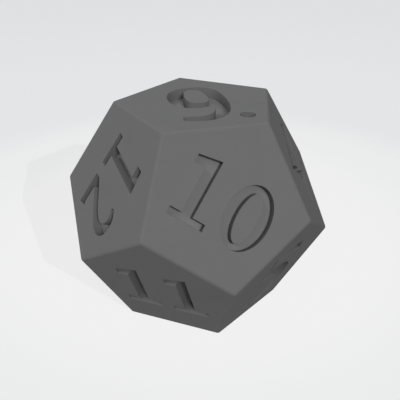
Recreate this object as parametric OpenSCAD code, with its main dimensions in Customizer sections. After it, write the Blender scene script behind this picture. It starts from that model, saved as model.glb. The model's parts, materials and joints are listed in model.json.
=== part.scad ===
/* [Die] */
// Distance between two opposite faces
across_flats = 19; // [16:0.5:30]
// Radius of the rounded edges and corners
edge_radius = 0.3; // [0.1:0.05:0.6]

/* [Numerals] */
// Height of a one-digit number, as a share of the die's edge length
single_height = 0.955; // [0.6:0.005:0.97]
// Height of each digit of a two-digit number, as a share of the die's edge length
pair_height = 0.635; // [0.4:0.005:0.65]
// Distance between the centres of two digits, as a share of their height
digit_pitch = 0.8; // [0.78:0.01:0.83]
// Diameter of the dot after 6 and 9, as a share of the digit's height
dot_size = 0.16; // [0.1:0.01:0.2]
// Depth of the engraved numerals
engraving_depth = 1.1; // [0.4:0.05:1.2]
// Thickness of the paint on the floor of each numeral
paint_thickness = 0.1; // [0.05:0.01:0.2]

/* [Hidden] */
golden = (1 + sqrt(5)) / 2;
inradius = across_flats / 2;
// A regular dodecahedron's edge length, from its inradius
edge = across_flats * sqrt(3 - golden) / pow(golden, 2);
// Angle between the normals of two neighbouring faces
face_turn = 180 - 2 * atan(golden);
// Turn from one side of a pentagon to the next
side_turn = 360 / 5;
// Angle from a face's normal out to its corners
corner_tilt = atan(edge / 2 / sin(side_turn / 2) / inradius);
// Distances from the centre to the rounds on the edges and corners, which the narrow flats touch
core_inradius = inradius - edge_radius;
edge_distance = core_inradius / cos(face_turn / 2) + edge_radius;
corner_distance = core_inradius / cos(corner_tilt) + edge_radius;
// Cutting tools run past the surface by this much, and blocks that hold the whole die are this big
overcut = 1;
block = 4 * across_flats;
// Straight steps in each curve and around each oval
curve_steps = 10;
oval_sides = 40;
$fn = 48;

// Where each number stands: [number, face tilt from +Z, face azimuth, clockwise turn of the number].
// Opposite faces add up to 13, except that 9 is opposite 6 and 4 is opposite 7.
FACES = [
    [1, 180 - face_turn, 18, 0],
    [2, face_turn, 54, side_turn / 2],
    [3, 180 - face_turn, 90, 0],
    [4, face_turn, -18, side_turn / 2],
    [5, 180 - face_turn, -54, 0],
    [6, 180, -90, 0],
    [7, 180 - face_turn, 162, 0],
    [8, face_turn, 126, side_turn / 2],
    [9, 0, -90, 0],
    [10, face_turn, -90, side_turn / 2],
    [11, 180 - face_turn, -126, 0],
    [12, face_turn, -162, 3 * side_turn / 2]
];

// Each engraved mark: [node name, face number, digit or "dot", centre in digit heights, digit height]
single_h = single_height * edge;
pair_h = pair_height * edge;
dot_centre = [0.365, -0.45];
// The middles of 10, 11 and 12, which stand off their faces' centres as their digits differ in width
PAIR_CENTRES = [[0, 0], [0.01, -0.01], [0.07, 0.055]];
function single(n) = [str("paint_", n), n, n, [0.03, 0], single_h];
function dot_after(n) = [str("paint_", n, "_dot"), n, "dot", [0.03, 0] + dot_centre, single_h];
function pair_digit(n, digit, side, place) =
    [str("paint_", n, "_", place), n, digit, PAIR_CENTRES[n - 10] + [side * digit_pitch / 2, 0], pair_h];
MARKS = concat(
    [for (n = [1 : 9]) single(n)],
    [for (n = [6, 9]) dot_after(n)],
    [for (n = [10, 11, 12]) pair_digit(n, 1, -1, "tens")],
    [for (n = [10, 11, 12]) pair_digit(n, n - 10, 1, "units")]
);

// Outlines of the digits on a grid one hundred units high, centred on the origin. A corner is [x, y].
// A corner followed by four more numbers starts a cubic curve with those two handles.
ONE = [[-28, 43], [9, 50], [9, -41], [30, -41], [30, -52], [-28, -52], [-28, -41], [-9, -41], [-9, 31],
       [-28, 29]];
TWO = [[-29, 34, -25, 45, -15, 50], [-1, 50, 16, 50, 28, 40], [28, 25, 28, 8, 10, -6], [-11, -37],
       [20, -37], [25, -33], [30, -50], [-29, -50], [-29, -38, -12, -12, 9, 6], [9, 22, 9, 30, 3, 37],
       [-7, 37, -14, 37, -18, 35], [-23, 31]];
THREE = [[-28, 27, -26, 42, -15, 50], [0, 50, 15, 50, 26, 41], [26, 28, 26, 17, 19, 9],
         [10, 5, 22, 1, 30, -7], [30, -20, 30, -39, 15, -50], [-4, -50, -19, -50, -29, -43],
         [-31, -32], [-22, -32, -19, -39, -12, -42], [-5, -42, 5, -42, 12, -33],
         [12, -20, 12, -7, 2, -2], [-10, -2], [-10, 6, 2, 6, 8, 14], [8, 27, 8, 36, 4, 42],
         [-4, 42, -12, 42, -18, 36]];
FOUR = [[-4, 45], [20, 50], [20, -6], [28, -6], [28, -14], [22, -14], [22, -43], [8, -43], [-8, -14],
        [-40, -14], [-40, -8]];
FOUR_HOLE = [[1, -6], [1, 24], [-17, -6]];
FIVE = [[-26, 48], [19, 45], [24, 30], [-19, 34], [-20, 18, 13, 19, 30, 4], [30, -16, 30, -37, 13, -50],
        [-8, -50, -14, -50, -19, -47], [-21, -38], [-16, -38, -13, -41, -11, -42],
        [-8, -42, 4, -42, 10, -32], [11, -18, 11, -3, -2, 4], [-26, 4]];
SIX = [[29, 46, 0, 60, -29, 48], [-29, -5, -29, -38, -21, -51], [0, -50, 20, -50, 32, -38],
       [32, -15, 32, 2, 22, 15], [5, 15, -2, 15, -8, 12], [-12, 6, -12, 30, -1, 44], [27, 35]];
SIX_HOLE = [[-11, -14, -11, -32, -7, -42], [1, -42, 9, -42, 13, -34], [13, -18, 13, -4, 8, 0],
            [0, 0, -7, 0, -11, -4]];
SEVEN = [[-30, 50], [32, 50], [32, 44], [-1, -50], [-18, -50], [14, 34], [-10, 34, -21, 34, -26, 31],
         [-28, 23], [-33, 23]];

// Digits made of ovals on the same grid: [width, height, middle's height]
ZERO = [[71, 103, -2]];
ZERO_HOLES = [[33, 81, -3]];
EIGHT = [[52, 50, 25.5], [62, 56, -22.5]];
EIGHT_HOLES = [[22, 33, 25.5], [27, 39, -22.5]];

function corner(p) = [p[0], p[1]];
function on_curve(a, b, c, d, t) =
    pow(1 - t, 3) * a + 3 * t * pow(1 - t, 2) * b + 3 * pow(t, 2) * (1 - t) * c + pow(t, 3) * d;
function stretch(p, next) =
    len(p) == 2 ? [p]
    : [for (i = [0 : curve_steps - 1])
        on_curve(corner(p), [p[2], p[3]], [p[4], p[5]], corner(next), i / curve_steps)];
function outline(path) =
    [for (i = [0 : len(path) - 1]) each stretch(path[i], path[(i + 1) % len(path)]) / 100];
function oval(o) = [for (i = [0 : oval_sides - 1])
    [o[0] / 2 * cos(360 * i / oval_sides), o[1] / 2 * sin(360 * i / oval_sides) + o[2]] / 100];

// The children on a face, whose centre is their origin, with +Y up the number and +Z out of the die
module on_face(tilt, azimuth, turn = 0) {
    rotate([0, tilt, azimuth])
        translate([0, 0, inradius])
            rotate(90 - turn)
                children();
}

// The space between pairs of parallel planes: one pair for each face of the upper ring and each turn
// about that face's normal, with the planes' own normal tilted from it
module between_planes(turns, tilt, distance) {
    intersection_for (place = [for (k = [0 : 4], turn = turns) [-90 + side_turn * k, turn]])
        rotate([0, face_turn, place[0]])
            rotate(place[1])
                rotate([0, tilt, 0])
                    cube([block, block, 2 * distance], center = true);
}

// A regular dodecahedron with a narrow flat along every edge and across every corner
module blank() {
    intersection() {
        cube([block, block, across_flats], center = true);
        between_planes([0], 0, inradius);
        between_planes(side_turn / 2 * [1, 3, 5], face_turn / 2, edge_distance);
        between_planes(side_turn * [1, 2], corner_tilt, corner_distance);
    }
}

module ovals(solid, holes) {
    difference() {
        for (o = solid)
            polygon(oval(o));
        for (o = holes)
            polygon(oval(o));
    }
}

module digit(n) {
    if (n == 0)
        ovals(ZERO, ZERO_HOLES);
    if (n == 1)
        polygon(outline(ONE));
    if (n == 2)
        polygon(outline(TWO));
    if (n == 3)
        polygon(outline(THREE));
    if (n == 4)
        difference() {
            polygon(outline(FOUR));
            polygon(outline(FOUR_HOLE));
        }
    if (n == 5)
        polygon(outline(FIVE));
    if (n == 6 || n == 9)
        rotate(n == 9 ? 180 : 0)
            difference() {
                polygon(outline(SIX));
                polygon(outline(SIX_HOLE));
            }
    if (n == 7)
        polygon(outline(SEVEN));
    if (n == 8)
        ovals(EIGHT, EIGHT_HOLES);
}

module mark_shape(mark) {
    height = mark[4];
    translate(mark[3] * height)
        scale(height)
            if (mark[2] == "dot")
                circle(d = dot_size);
            else
                digit(mark[2]);
}

// The children on a mark's own face, turned as its number is
module on_marked_face(mark) {
    face = FACES[mark[1] - 1];
    on_face(face[1], face[2], face[3])
        children();
}

module die_body() {
    color("dimgray")
        difference() {
            blank();
            for (mark = MARKS)
                on_marked_face(mark)
                    translate([0, 0, -engraving_depth])
                        linear_extrude(engraving_depth + overcut)
                            mark_shape(mark);
        }
}

module paint(mark) {
    color("gray")
        on_marked_face(mark)
            translate([0, 0, -engraving_depth])
                linear_extrude(paint_thickness)
                    mark_shape(mark);
}

translate([0, 0, inradius]) die_body();
for (mark = MARKS)
    translate([0, 0, inradius]) paint(mark);
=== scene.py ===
import json
import math

import bmesh
import bpy
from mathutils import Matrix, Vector, geometry


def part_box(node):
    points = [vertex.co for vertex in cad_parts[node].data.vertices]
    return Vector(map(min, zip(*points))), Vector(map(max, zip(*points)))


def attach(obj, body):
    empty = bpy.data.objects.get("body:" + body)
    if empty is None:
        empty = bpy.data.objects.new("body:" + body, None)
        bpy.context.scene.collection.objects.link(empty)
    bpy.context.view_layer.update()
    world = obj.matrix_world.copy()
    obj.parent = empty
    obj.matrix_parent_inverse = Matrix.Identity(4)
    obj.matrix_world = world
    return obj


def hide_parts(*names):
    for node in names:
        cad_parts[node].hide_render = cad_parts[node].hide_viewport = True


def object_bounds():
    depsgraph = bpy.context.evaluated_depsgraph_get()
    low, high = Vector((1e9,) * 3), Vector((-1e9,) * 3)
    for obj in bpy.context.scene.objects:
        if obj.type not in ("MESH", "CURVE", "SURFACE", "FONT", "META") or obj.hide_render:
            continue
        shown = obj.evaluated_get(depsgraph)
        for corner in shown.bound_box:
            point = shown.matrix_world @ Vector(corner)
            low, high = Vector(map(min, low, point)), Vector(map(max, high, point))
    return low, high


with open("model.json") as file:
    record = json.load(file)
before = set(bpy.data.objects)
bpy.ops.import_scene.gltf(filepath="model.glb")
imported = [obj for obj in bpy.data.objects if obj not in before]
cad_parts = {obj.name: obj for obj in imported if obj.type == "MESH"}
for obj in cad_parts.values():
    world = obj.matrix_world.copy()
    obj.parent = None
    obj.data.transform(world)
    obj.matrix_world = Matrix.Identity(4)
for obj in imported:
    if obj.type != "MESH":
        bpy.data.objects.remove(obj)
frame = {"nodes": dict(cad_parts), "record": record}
CAD_LOW, CAD_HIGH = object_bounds()

# ---------------------------------------------------------------- sizes, in metres

MM = 0.001
ACROSS_FLATS = CAD_HIGH.z - CAD_LOW.z
INRADIUS = ACROSS_FLATS / 2
CENTRE = Vector((0, 0, CAD_LOW.z + INRADIUS))
EDGE = INRADIUS / math.sqrt(5 / 8 + 11 * math.sqrt(5) / 40)
# cosine of the angle between the normals of two neighbouring faces
NEIGHBOUR_DOT = 1 / math.sqrt(5)
DOT_SLACK = 0.01

EDGE_ROUND = 0.018 * ACROSS_FLATS
EDGE_STEPS = 8
RIM_ROUND = 0.03 * MM
RIM_STEPS = 3
MENISCUS_WIDTH = 0.05 * MM
MENISCUS_RISE = 0.02 * MM
MENISCUS_STEPS = 4
# cosine of the turn below which an outline's corner is shaded as a curve
SMOOTH_TURN = math.cos(math.radians(38))
MITRE_LIMIT = 0.35
WELD = 0.0001 * MM

# ---------------------------------------------------------------- camera

CAMERA_OFFSET = EDGE * Vector((-1.522, -6.085, 3.361))
CAMERA_DOWN = math.radians(28.03)
CAMERA_TURN = math.radians(-14.2)
CAMERA_VIEW = math.radians(33.45)

camera = bpy.data.objects.new("camera", bpy.data.cameras.new("camera"))
bpy.context.scene.collection.objects.link(camera)
bpy.context.scene.camera = camera
camera.location = CENTRE + CAMERA_OFFSET
camera.rotation_euler = (math.pi / 2 - CAMERA_DOWN, 0, CAMERA_TURN)
camera.data.angle = CAMERA_VIEW
camera.data.clip_start = 1 * MM
camera.data.clip_end = 10

# ---------------------------------------------------------------- meshes with exact normals


class Skin:
    """Faces with a normal at each corner and a wear value at each point, welded into one mesh."""

    def __init__(self):
        self.mesh = bmesh.new()
        self.corner = self.mesh.loops.layers.float_vector.new("corner")
        self.wear = self.mesh.verts.layers.float.new("wear")

    def face(self, points, normals, wears=None):
        verts = [self.mesh.verts.new(p) for p in points]
        face = self.mesh.faces.new(verts)
        for i, loop in enumerate(face.loops):
            loop[self.corner] = normals[i]
            verts[i][self.wear] = wears[i] if wears else 0

    def strip(self, rows, normals, wears=None):
        """Quads between neighbouring rows of points; each row has the same number of points."""
        for r in range(len(rows) - 1):
            for i in range(len(rows[r]) - 1):
                ring = ((r, i), (r, i + 1), (r + 1, i + 1), (r + 1, i))
                self.face(
                    [rows[a][b] for a, b in ring],
                    [normals[a][b] for a, b in ring],
                    [wears[a][b] for a, b in ring] if wears else None,
                )

    def flat(self, outlines, place, normal):
        """A flat area inside its first outline and outside the rest, with normal at its corners.

        Its triangles are wound to face out of the die, whichever way normal points.
        """
        flat_points = [p for outline in outlines for p in outline]
        points = [place(p) for p in flat_points]
        for ring in geometry.tessellate_polygon([[p.to_3d() for p in o] for o in outlines]):
            a, b, c = (flat_points[i] for i in ring)
            turn = (b - a).cross(c - a)
            if turn == 0:
                continue
            ring = ring if turn > 0 else ring[::-1]
            self.face([points[i] for i in ring], [normal] * 3)

    def finish(self, name):
        bmesh.ops.remove_doubles(self.mesh, verts=self.mesh.verts, dist=WELD)
        mesh = bpy.data.meshes.new(name)
        self.mesh.to_mesh(mesh)
        self.mesh.free()
        corners = [tuple(c.vector) for c in mesh.attributes["corner"].data]
        mesh.attributes.remove(mesh.attributes["corner"])
        mesh.polygons.foreach_set("use_smooth", [True] * len(mesh.polygons))
        mesh.normals_split_custom_set(corners)
        piece = bpy.data.objects.new(name, mesh)
        bpy.context.scene.collection.objects.link(piece)
        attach(piece, "root")
        return piece


def side_normals(outline):
    """The outward normals of the stretches before and after each point of a closed outline."""
    count = len(outline)
    stretch = []
    for i in range(count):
        along = (outline[(i + 1) % count] - outline[i]).normalized()
        stretch.append(Vector((along.y, -along.x)))
    pairs = []
    for i in range(count):
        before, after = stretch[i - 1], stretch[i]
        if before.dot(after) > SMOOTH_TURN:
            before = after = (before + after).normalized()
        pairs.append((before, after))
    return pairs


def shifted(outline, distance):
    """A closed outline moved outward by distance, with mitred corners."""
    count = len(outline)
    moved = []
    for i in range(count):
        before = (outline[i] - outline[i - 1]).normalized()
        after = (outline[(i + 1) % count] - outline[i]).normalized()
        out = Vector((before.y + after.y, -before.x - after.x))
        reach = max(1 + before.dot(after), MITRE_LIMIT)
        moved.append(outline[i] + out * (distance / reach))
    return moved


def area(outline):
    """Positive for an outline that runs anticlockwise."""
    return sum(a.cross(b) for a, b in zip(outline, outline[1:] + outline[:1])) / 2


class Side:
    """One face of the die: a flat coordinate system on it, and the marks cut into it."""

    def __init__(self, mount):
        self.normal = Vector(mount["axis"]).normalized()
        self.across = self.normal.orthogonal().normalized()
        self.up = self.normal.cross(self.across)
        self.outlines = []
        self.depth = 0

    def place(self, p, depth):
        return CENTRE + self.across * p.x + self.up * p.y + self.normal * (INRADIUS - depth)

    def at(self, depth):
        return lambda p: self.place(p, depth)

    def tilted(self, out, lean):
        """The face's normal, leaning by the angle lean away from the flat direction out."""
        inward = -(self.across * out.x + self.up * out.y)
        return inward * math.sin(lean) + self.normal * math.cos(lean)

    def flattened(self, p):
        q = p - CENTRE
        return Vector((q.dot(self.across), q.dot(self.up)))

    def depth_of(self, p):
        return INRADIUS - (p - CENTRE).dot(self.normal)

    def band(self, skin, outline, profile, wears=None):
        """A band round an outline.

        Each row of the profile is (outward shift, depth, lean of its normal).
        """
        normals = side_normals(outline)
        count = len(outline)
        rings = [shifted(outline, shift) for shift, _, _ in profile]
        for i in range(count):
            j = (i + 1) % count
            rows, leans, worn = [], [], []
            for r, (ring, (_, depth, lean)) in enumerate(zip(rings, profile)):
                rows.append([self.place(ring[i], depth), self.place(ring[j], depth)])
                leans.append([self.tilted(normals[i][1], lean), self.tilted(normals[j][0], lean)])
                worn.append([wears[r]] * 2 if wears else [0, 0])
            skin.strip(rows, leans, worn)


sides = [Side(m) for m in frame["record"]["mounts"] if m["name"].startswith("face_")]


# ---------------------------------------------------------------- the paint films' outlines


def top_outlines(node, side):
    """The outlines of a film's top in the side's flat coordinates, and the film's two depths.

    Each outline runs with the film on its left.
    """
    film = bmesh.new()
    film.from_mesh(frame["nodes"][node].data)
    bmesh.ops.remove_doubles(film, verts=film.verts, dist=WELD)
    film.normal_update()
    depths = [side.depth_of(v.co) for v in film.verts]
    top = {f for f in film.faces if f.normal.dot(side.normal) > 1 - DOT_SLACK}
    after = {}
    for face in top:
        for loop in face.loops:
            if sum(f in top for f in loop.edge.link_faces) == 1:
                after[loop.vert] = loop.link_loop_next.vert
    outlines = []
    while after:
        vert, follow = after.popitem()
        ring = [vert]
        while follow is not ring[0]:
            ring.append(follow)
            follow = after.pop(follow)
        outlines.append([side.flattened(v.co) for v in ring])
    film.free()
    return outlines, min(depths), max(depths)


def side_of(node):
    low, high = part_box(node)
    return max(sides, key=lambda side: ((low + high) / 2 - CENTRE).dot(side.normal))


# ---------------------------------------------------------------- pieces

BODY = "die_body"
MARKS = sorted(n for n in frame["nodes"] if n != BODY)


def areas(outlines):
    """Each area's outer outline with the outlines of the islands inside it."""
    outers = [o for o in outlines if area(o) > 0]
    inners = [o for o in outlines if area(o) < 0]
    found = []
    for outer in outers:
        found.append([outer] + [inner for inner in inners if inside_of(inner[0], outer)])
    return found


def inside_of(p, loop):
    crossings = 0
    for a, b in zip(loop, loop[1:] + loop[:1]):
        if (a.y > p.y) != (b.y > p.y) and p.x < a.x + (b.x - a.x) * (p.y - a.y) / (b.y - a.y):
            crossings += 1
    return crossings % 2 == 1


def make_film(node):
    """A film of paint on the floor of a recess, drawn up a little where it meets the walls."""
    side = side_of(node)
    outlines, top, floor = top_outlines(node, side)
    side.outlines.append(outlines)
    side.depth = floor
    skin = Skin()
    profile = []
    for step in range(MENISCUS_STEPS + 1):
        s = step / MENISCUS_STEPS
        lean = math.atan(2 * MENISCUS_RISE * (1 - s) / MENISCUS_WIDTH)
        profile.append((-MENISCUS_WIDTH * s, top - MENISCUS_RISE * (1 - s) ** 2, lean))
    wall = [(0, floor, -math.pi / 2), (0, top - MENISCUS_RISE, -math.pi / 2)]
    for outline in outlines:
        side.band(skin, outline, wall)
        side.band(skin, outline, profile)
    for group in areas(outlines):
        inner = [shifted(o, -MENISCUS_WIDTH) for o in group]
        skin.flat(inner, side.at(top), side.normal)
        skin.flat([o[::-1] for o in group], side.at(floor), -side.normal)
    film = skin.finish(node + "_film")
    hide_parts(node)
    return film


def make_body():
    """The die: twelve engraved faces joined by rounded edges and corners."""
    skin = Skin()
    core = INRADIUS - EDGE_ROUND
    middle = math.cos(math.acos(NEIGHBOUR_DOT) / 2)

    def wear_of(direction):
        return min(1, (1 - max(direction.dot(s.normal) for s in sides)) / (1 - middle))

    def beside(a, b):
        return abs(a.normal.dot(b.normal) - NEIGHBOUR_DOT) < DOT_SLACK

    corners = []
    for i, a in enumerate(sides):
        for j, b in enumerate(sides[:i]):
            for c in sides[:j]:
                if beside(a, b) and beside(b, c) and beside(a, c):
                    together = a.normal + b.normal + c.normal
                    corners.append((together * core / (1 + 2 * NEIGHBOUR_DOT), (a, b, c)))

    def patch(rows, point):
        """A spherical triangle's rows of directions, as triangles facing outward."""
        for r in range(1, len(rows)):
            for i in range(r):
                trios = [(rows[r - 1][i], rows[r][i], rows[r][i + 1])]
                if i < r - 1:
                    trios.append((rows[r - 1][i], rows[r][i + 1], rows[r - 1][i + 1]))
                for trio in trios:
                    if (trio[1] - trio[0]).cross(trio[2] - trio[0]).dot(trio[0]) < 0:
                        trio = trio[::-1]
                    skin.face(
                        [CENTRE + point + d * EDGE_ROUND for d in trio],
                        list(trio),
                        [wear_of(d) for d in trio],
                    )

    for point, (a, b, c) in corners:
        rows = [[a.normal.copy()]]
        for r in range(1, EDGE_STEPS + 1):
            left = a.normal.slerp(b.normal, r / EDGE_STEPS)
            right = a.normal.slerp(c.normal, r / EDGE_STEPS)
            rows.append([left.slerp(right, i / r) for i in range(r + 1)])
        patch(rows, point)

    for i, a in enumerate(sides):
        for b in sides[:i]:
            if not beside(a, b):
                continue
            ends = [point for point, trio in corners if a in trio and b in trio]
            if (ends[1] - ends[0]).cross(b.normal - a.normal).dot(a.normal) < 0:
                ends.reverse()
            turns = [a.normal.slerp(b.normal, s / EDGE_STEPS) for s in range(EDGE_STEPS + 1)]
            skin.strip(
                [[CENTRE + end + d * EDGE_ROUND for end in ends] for d in turns],
                [[d, d] for d in turns],
                [[wear_of(d)] * 2 for d in turns],
            )

    rim = []
    rim_wear = []
    for step in range(RIM_STEPS + 1):
        t = math.pi / 2 * step / RIM_STEPS
        rim.append((RIM_ROUND * (1 - math.sin(t)), RIM_ROUND * (1 - math.cos(t)), t))
        rim_wear.append(math.sin(2 * t))
    for side in sides:
        loop = [side.flattened(CENTRE + p) for p, trio in corners if side in trio]
        loop.sort(key=lambda p: math.atan2(p.y, p.x))
        lands, holes = [], [loop]
        for outlines in side.outlines:
            for group in areas(outlines):
                holes.append(shifted(group[0], RIM_ROUND))
                lands += [shifted(island, RIM_ROUND)[::-1] for island in group[1:]]
                skin.flat(group, side.at(side.depth), side.normal)
            for outline in outlines:
                wall = rim + [(0, side.depth, math.pi / 2)]
                side.band(skin, outline, wall, rim_wear + [0])
        skin.flat(holes, side.at(0), side.normal)
        for land in lands:
            skin.flat([land], side.at(0), side.normal)
    body = skin.finish(BODY + "_skin")
    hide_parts(BODY)
    return body


films = [make_film(node) for node in MARKS]
body = make_body()

# ---------------------------------------------------------------- materials


class Nodes:
    """A material's node tree, with short calls for the few kinds of node used here."""

    def __init__(self, name):
        self.material = bpy.data.materials.new(name)
        self.material.use_nodes = True
        self.tree = self.material.node_tree
        self.shader = next(n for n in self.tree.nodes if n.type == "BSDF_PRINCIPLED")
        self.coordinates = self.tree.nodes.new("ShaderNodeTexCoord")

    def link(self, source, target):
        self.tree.links.new(source, target)

    def noise(self, scale, detail, roughness):
        node = self.tree.nodes.new("ShaderNodeTexNoise")
        node.inputs["Scale"].default_value = scale
        node.inputs["Detail"].default_value = detail
        node.inputs["Roughness"].default_value = roughness
        self.link(self.coordinates.outputs["Object"], node.inputs["Vector"])
        return node.outputs["Fac"]

    def distance(self, point):
        node = self.tree.nodes.new("ShaderNodeVectorMath")
        node.operation = "DISTANCE"
        node.inputs[1].default_value = point
        self.link(self.coordinates.outputs["Object"], node.inputs[0])
        return node.outputs["Value"]

    def ranged(self, source, low, high, to_low, to_high):
        node = self.tree.nodes.new("ShaderNodeMapRange")
        for name, value in zip(
            ("From Min", "From Max", "To Min", "To Max"), (low, high, to_low, to_high)
        ):
            node.inputs[name].default_value = value
        self.link(source, node.inputs["Value"])
        return node.outputs["Result"]

    def math(self, operation, a, b):
        node = self.tree.nodes.new("ShaderNodeMath")
        node.operation = operation
        for socket, value in zip(node.inputs, (a, b)):
            if isinstance(value, (int, float)):
                socket.default_value = value
            else:
                self.link(value, socket)
        return node.outputs["Value"]

    def ramp(self, source, stops):
        node = self.tree.nodes.new("ShaderNodeValToRGB")
        ramp = node.color_ramp
        ramp.interpolation = "EASE"
        while len(ramp.elements) < len(stops):
            ramp.elements.new(1)
        for element, (position, colour) in zip(ramp.elements, stops):
            element.position = position
            element.color = (*colour, 1)
        self.link(source, node.inputs["Fac"])
        return node.outputs["Color"]

    def bump(self, height, distance, strength):
        node = self.tree.nodes.new("ShaderNodeBump")
        node.inputs["Distance"].default_value = distance
        node.inputs["Strength"].default_value = strength
        self.link(height, node.inputs["Height"])
        return node.outputs["Normal"]


def grey(value):
    return (value, value, value)


# noise features per metre of the object
MOTTLE_SCALE = 420
GRAIN_SCALE = 5200
MOTTLE_SHARE = 0.6
GRAIN_DEPTH = 0.004 * MM
GRAIN_STRENGTH = 0.5
GLOSS_SPREAD = 0.05
WEAR_SHARE = 0.04
SPECULAR = 0.1
BODY_TONE = 0.13
# the paint films' grey, set lighter than the resin: painted light that lifts the shade inside the
# engraved recesses
PAINT_TONE_WITH_PAINTED_LIGHT = 0.18


def plastic(name, tone, spread, rough):
    """Matte moulded resin: mottled tone, fine grain, a little polish worn onto edges and rims."""
    nodes = Nodes(name)
    mottle = nodes.noise(MOTTLE_SCALE, detail=4, roughness=0.55)
    grain = nodes.noise(GRAIN_SCALE, detail=3, roughness=0.6)
    wear = nodes.tree.nodes.new("ShaderNodeAttribute")
    wear.attribute_name = "wear"
    mixed = nodes.math(
        "ADD",
        nodes.math("MULTIPLY", mottle, MOTTLE_SHARE),
        nodes.math("MULTIPLY", grain, 1 - MOTTLE_SHARE),
    )
    worn = nodes.math("MULTIPLY", wear.outputs["Fac"], WEAR_SHARE)
    tones = nodes.ramp(
        nodes.math("ADD", mixed, worn),
        ((0.3, grey(tone - spread)), (0.5, grey(tone)), (0.7, grey(tone + spread))),
    )
    nodes.link(tones, nodes.shader.inputs["Base Color"])
    gloss = nodes.ranged(mixed, 0.3, 0.7, rough - GLOSS_SPREAD, rough + GLOSS_SPREAD)
    nodes.link(nodes.math("SUBTRACT", gloss, worn), nodes.shader.inputs["Roughness"])
    nodes.link(nodes.bump(grain, GRAIN_DEPTH, GRAIN_STRENGTH), nodes.shader.inputs["Normal"])
    nodes.shader.inputs["Specular IOR Level"].default_value = SPECULAR
    return nodes.material


body.data.materials.append(plastic("resin", BODY_TONE, spread=0.006, rough=0.7))
# the paint's lighter tone is painted light against the shade in the recesses
paint = plastic("matte_paint", PAINT_TONE_WITH_PAINTED_LIGHT, spread=0.008, rough=0.8)
for film in films:
    film.data.materials.append(paint)

# ---------------------------------------------------------------- floor, world and lights

FLOOR_RADIUS = 1.0
WALL_HEIGHT = FLOOR_RADIUS / 3
FLOOR_ALBEDO = 0.116
# the brightest part of the floor is behind the die, as the camera sees it
GLOW_CENTRE = 1.3 * EDGE * Vector((0.245, 0.969, 0))
GLOW_REACH = 15 * EDGE
GLOW_TONES = (
    (0.15, (0.793, 0.793, 0.793)),
    (0.24, (0.758, 0.760, 0.763)),
    (0.32, (0.703, 0.711, 0.718)),
    (0.95, (0.660, 0.675, 0.690)),
)
# close to the die the floor glows slightly more
CONTACT_REACH = 3 * EDGE
CONTACT_GAIN = 1.025


def make_floor():
    """A pale surface inside a distant round wall.

    It glows softly, so that only a faint shadow shows.
    """
    mesh = bmesh.new()
    bmesh.ops.create_circle(mesh, cap_ends=True, segments=96, radius=FLOOR_RADIUS)
    wall = bmesh.ops.extrude_edge_only(mesh, edges=mesh.edges)["geom"]
    wall_top = [v for v in wall if isinstance(v, bmesh.types.BMVert)]
    bmesh.ops.translate(mesh, verts=wall_top, vec=(0, 0, WALL_HEIGHT))
    data = bpy.data.meshes.new("floor")
    mesh.to_mesh(data)
    mesh.free()
    floor = bpy.data.objects.new("floor", data)
    floor.location = (0, 0, CAD_LOW.z)
    bpy.context.scene.collection.objects.link(floor)
    nodes = Nodes("floor")
    reach = nodes.ranged(nodes.distance(GLOW_CENTRE), 0, GLOW_REACH, 0, 1)
    glow = nodes.ramp(reach, GLOW_TONES)
    contact = nodes.ranged(nodes.distance(Vector()), 0, CONTACT_REACH, CONTACT_GAIN, 1)
    nodes.link(glow, nodes.shader.inputs["Emission Color"])
    nodes.link(contact, nodes.shader.inputs["Emission Strength"])
    nodes.shader.inputs["Base Color"].default_value = (*grey(FLOOR_ALBEDO), 1)
    nodes.shader.inputs["Roughness"].default_value = 1
    nodes.shader.inputs["Specular IOR Level"].default_value = 0
    data.materials.append(nodes.material)
    return floor


floor = make_floor()

# a plain grey world, which reaches the die from above the wall
WORLD_TONE = (0.23, 0.235, 0.24, 1)

world = bpy.data.worlds.new("world")
bpy.context.scene.world = world
world.use_nodes = True
background = world.node_tree.nodes["Background"]
background.inputs["Color"].default_value = WORLD_TONE

SUN_DISTANCE = 30 * EDGE
# each sun's azimuth and height in degrees, its energy, and its width in degrees
FLOOR_SUN = (-74.8, 30, 2.32, 0.6)
DIE_SUNS = {
    "front_light": (-90, 26.6, 2.13, 14),
    "left_fill": (166, 20, 0.99, 35),
    "right_fill": (-14, 20, 0.66, 35),
    "high_fill": (-149, 50, 0.83, 35),
    "back_fill": (76, 50, 0.71, 35),
    "low_fill": (-140, -75, 2.62, 100),
}


def sun(name, lit, blockers, azimuth, height, energy, width):
    """A distant light that falls only on lit, where only blockers cast a shadow."""
    data = bpy.data.lights.new(name, "SUN")
    data.energy = energy
    data.angle = math.radians(width)
    light = bpy.data.objects.new(name, data)
    a, h = math.radians(azimuth), math.radians(height)
    way = Vector((math.cos(h) * math.cos(a), math.cos(h) * math.sin(a), math.sin(h)))
    light.location = CENTRE + way * SUN_DISTANCE
    light.rotation_mode = "QUATERNION"
    light.rotation_quaternion = way.to_track_quat("Z", "Y")
    light.light_linking.receiver_collection = lit
    light.light_linking.blocker_collection = blockers
    bpy.context.scene.collection.objects.link(light)


def collect(name, members):
    collection = bpy.data.collections.new(name)
    for member in members:
        collection.objects.link(member)
    return collection


stage_group = collect("stage", [floor])
die_group = collect("die", [body] + films)
floor.light_linking.receiver_collection = stage_group
sun("floor_sun", stage_group, die_group, *FLOOR_SUN)
for name, values in DIE_SUNS.items():
    sun(name, die_group, die_group, *values)

bpy.context.scene.view_settings.view_transform = "Standard"
